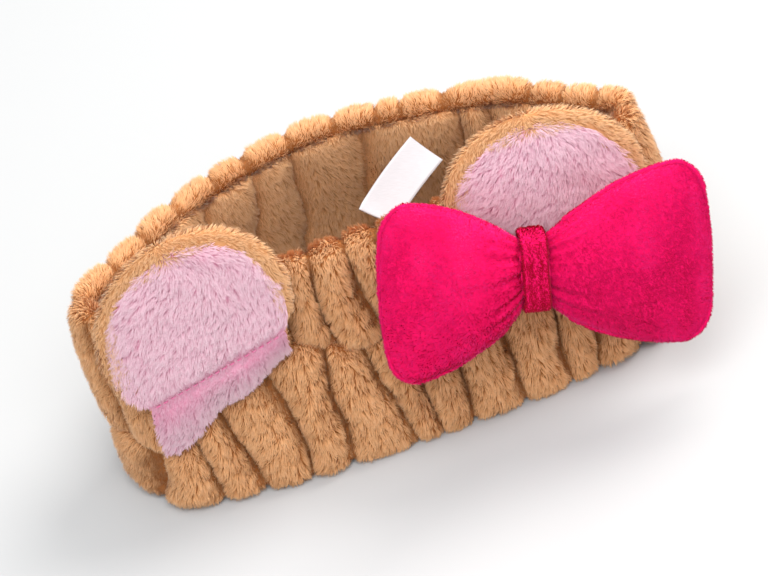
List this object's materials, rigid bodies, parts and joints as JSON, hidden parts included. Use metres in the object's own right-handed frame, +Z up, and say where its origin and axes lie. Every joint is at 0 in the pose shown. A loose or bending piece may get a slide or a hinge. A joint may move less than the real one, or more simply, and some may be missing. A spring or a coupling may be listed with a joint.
{
  "type": "spa headband",
  "caption": "Plush spa headband: a gathered elastic loop that holds hair off the face, with folding bear ears, a stuffed bow and a blank satin label.",
  "frame": {"origin": "middle of the overall footprint, on the floor the loop stands on", "axes": "+Z up through the head opening, -Y out of the front with the ears and bow, +X to the viewer's right"},
  "size_m": [0.2422, 0.142, 0.117],
  "materials": {
    "tan_plush": "long soft pile",
    "pink_plush": "long soft pile",
    "bow_velour": "short pile with a sheen",
    "wadding": "fibre filling",
    "elastic": "woven elastic",
    "tan_thread": "polyester thread",
    "pink_thread": "polyester thread",
    "label_satin": "satin weave"
  },
  "bodies": {
    "band_front": {"lower_row_front": "tan_plush", "upper_row_front": "tan_plush", "lining_front": "tan_plush", "lower_elastic_front": "elastic", "upper_elastic_front": "elastic", "seam_thread_front": "tan_thread", "ear_left_foot_back": "tan_plush", "ear_left_foot_front": "pink_plush", "ear_left_topstitch": "pink_thread", "ear_right_foot_back": "tan_plush", "ear_right_foot_front": "pink_plush", "ear_right_topstitch": "pink_thread", "bow_tack_thread": "pink_thread"},
    "band_back": {"lower_row_back": "tan_plush", "upper_row_back": "tan_plush", "lining_back": "tan_plush", "lower_elastic_back": "elastic", "upper_elastic_back": "elastic", "seam_thread_back": "tan_thread"},
    "ear_left": {"ear_left_back": "tan_plush", "ear_left_padding": "wadding", "ear_left_front": "pink_plush"},
    "ear_right": {"ear_right_back": "tan_plush", "ear_right_padding": "wadding", "ear_right_front": "pink_plush"},
    "bow_knot": {"bow_knot_wrap": "bow_velour", "bow_waist": "bow_velour"},
    "bow_left": {"bow_left_front_panel": "bow_velour", "bow_left_back_panel": "bow_velour", "bow_left_stuffing": "wadding"},
    "bow_right": {"bow_right_front_panel": "bow_velour", "bow_right_back_panel": "bow_velour", "bow_right_stuffing": "wadding"},
    "label": {"satin_label": "label_satin"}
  },
  "joints": [
    {"name": "band_stretch", "type": "slide", "parent": "band_front", "child": "band_back", "axis": [0, 1, 0], "range_m": [0, 0.045], "stiffness_N_per_m": 120},
    {"name": "ear_left_fold", "type": "hinge", "parent": "band_front", "child": "ear_left", "pos_m": [-0.07241, -0.03846, 0.0635], "axis": [0.9683, -0.0279, 0.2482], "range_deg": [0, 150], "stiffness_Nm_per_rad": 0.003},
    {"name": "ear_right_fold", "type": "hinge", "parent": "band_front", "child": "ear_right", "pos_m": [0.06209, -0.03776, 0.0625], "axis": [0.9869, 0.0591, -0.15], "range_deg": [0, 4], "stiffness_Nm_per_rad": 0.003},
    {"name": "bow_twist", "type": "hinge", "parent": "band_front", "child": "bow_knot", "pos_m": [0.04649, -0.05717, 0.06134], "axis": [0, -0.9588, 0.284], "range_deg": [-12, 12]},
    {"name": "bow_left_lift", "type": "hinge", "parent": "bow_knot", "child": "bow_left", "pos_m": [0.04454, -0.05352, 0.07366], "axis": [0.2419, 0.2756, 0.9303], "range_deg": [0, 20], "stiffness_Nm_per_rad": 0.003},
    {"name": "bow_right_lift", "type": "hinge", "parent": "bow_knot", "child": "bow_right", "pos_m": [0.05424, -0.05421, 0.07134], "axis": [-0.2419, -0.2756, -0.9303], "range_deg": [0, 20], "stiffness_Nm_per_rad": 0.003},
    {"name": "label_bend", "type": "hinge", "parent": "band_front", "child": "label", "pos_m": [0.00259, -0.00486, 0.0811], "axis": [-0.7229, 0.214, 0.6569], "range_deg": [-5, 50], "stiffness_Nm_per_rad": 0.002}
  ]
}
